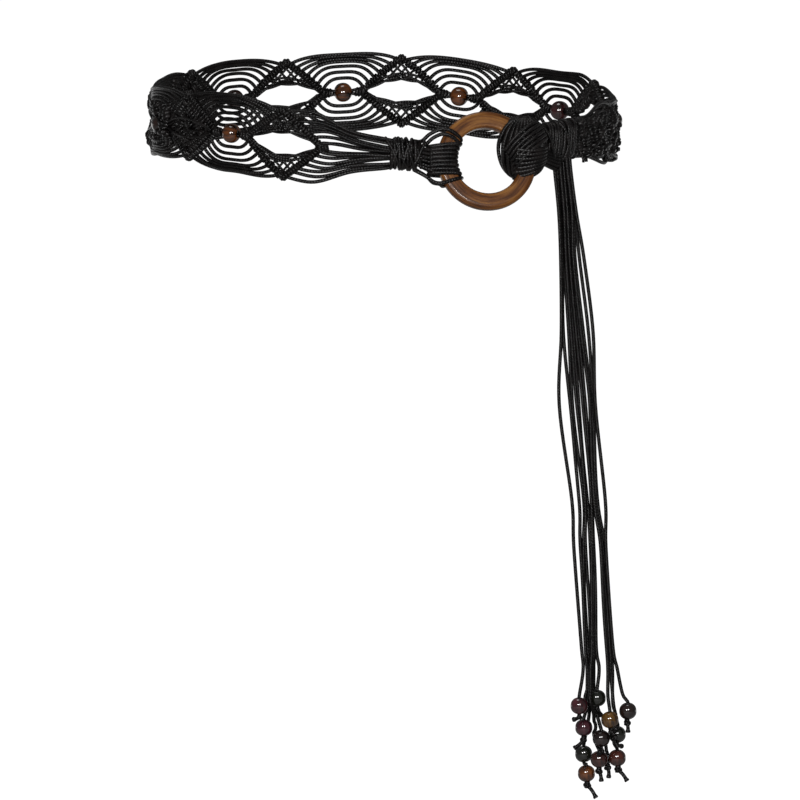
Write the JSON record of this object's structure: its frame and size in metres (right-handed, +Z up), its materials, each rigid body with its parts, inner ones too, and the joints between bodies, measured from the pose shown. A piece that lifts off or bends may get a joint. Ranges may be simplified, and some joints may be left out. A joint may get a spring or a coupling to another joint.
{
  "type": "woven tassel belt",
  "caption": "Belt of knotted black cord with diamond motifs and wood beads, a wood ring at the front and a long beaded cord tassel, held open as when worn.",
  "frame": {"origin": "middle of the waist loop, at the mean height of the band", "axes": "+Z up along the wearer's body, the ring and tassel face -Y, and the tassel hangs on the +X side"},
  "size_m": [0.2927, 0.2445, 0.4273],
  "materials": {
    "cord": "waxed",
    "ring_wood": "polished",
    "belt_bead_wood": "lacquered",
    "red_bead_wood": "lacquered",
    "brown_bead_wood": "lacquered",
    "dark_bead_wood": "lacquered"
  },
  "bodies": {
    "root": {"woven_band": "cord", "gathering_knot": "cord", "ring_hitches": "cord", "closing_knot": "cord", "neck_wrap": "cord", "tassel": "cord", "wood_ring": "ring_wood", "belt_bead_1": "belt_bead_wood", "belt_bead_2": "belt_bead_wood", "belt_bead_3": "belt_bead_wood", "belt_bead_4": "belt_bead_wood", "belt_bead_5": "belt_bead_wood", "belt_bead_6": "belt_bead_wood", "belt_bead_7": "belt_bead_wood", "belt_bead_8": "belt_bead_wood", "tassel_bead_1": "red_bead_wood", "tassel_bead_2": "red_bead_wood", "tassel_bead_3": "dark_bead_wood", "tassel_bead_4": "brown_bead_wood", "tassel_bead_5": "brown_bead_wood", "tassel_bead_6": "brown_bead_wood", "tassel_bead_7": "brown_bead_wood", "tassel_bead_8": "dark_bead_wood", "tassel_bead_9": "dark_bead_wood", "tassel_bead_10": "dark_bead_wood", "tassel_bead_11": "dark_bead_wood"}
  },
  "joints": []
}
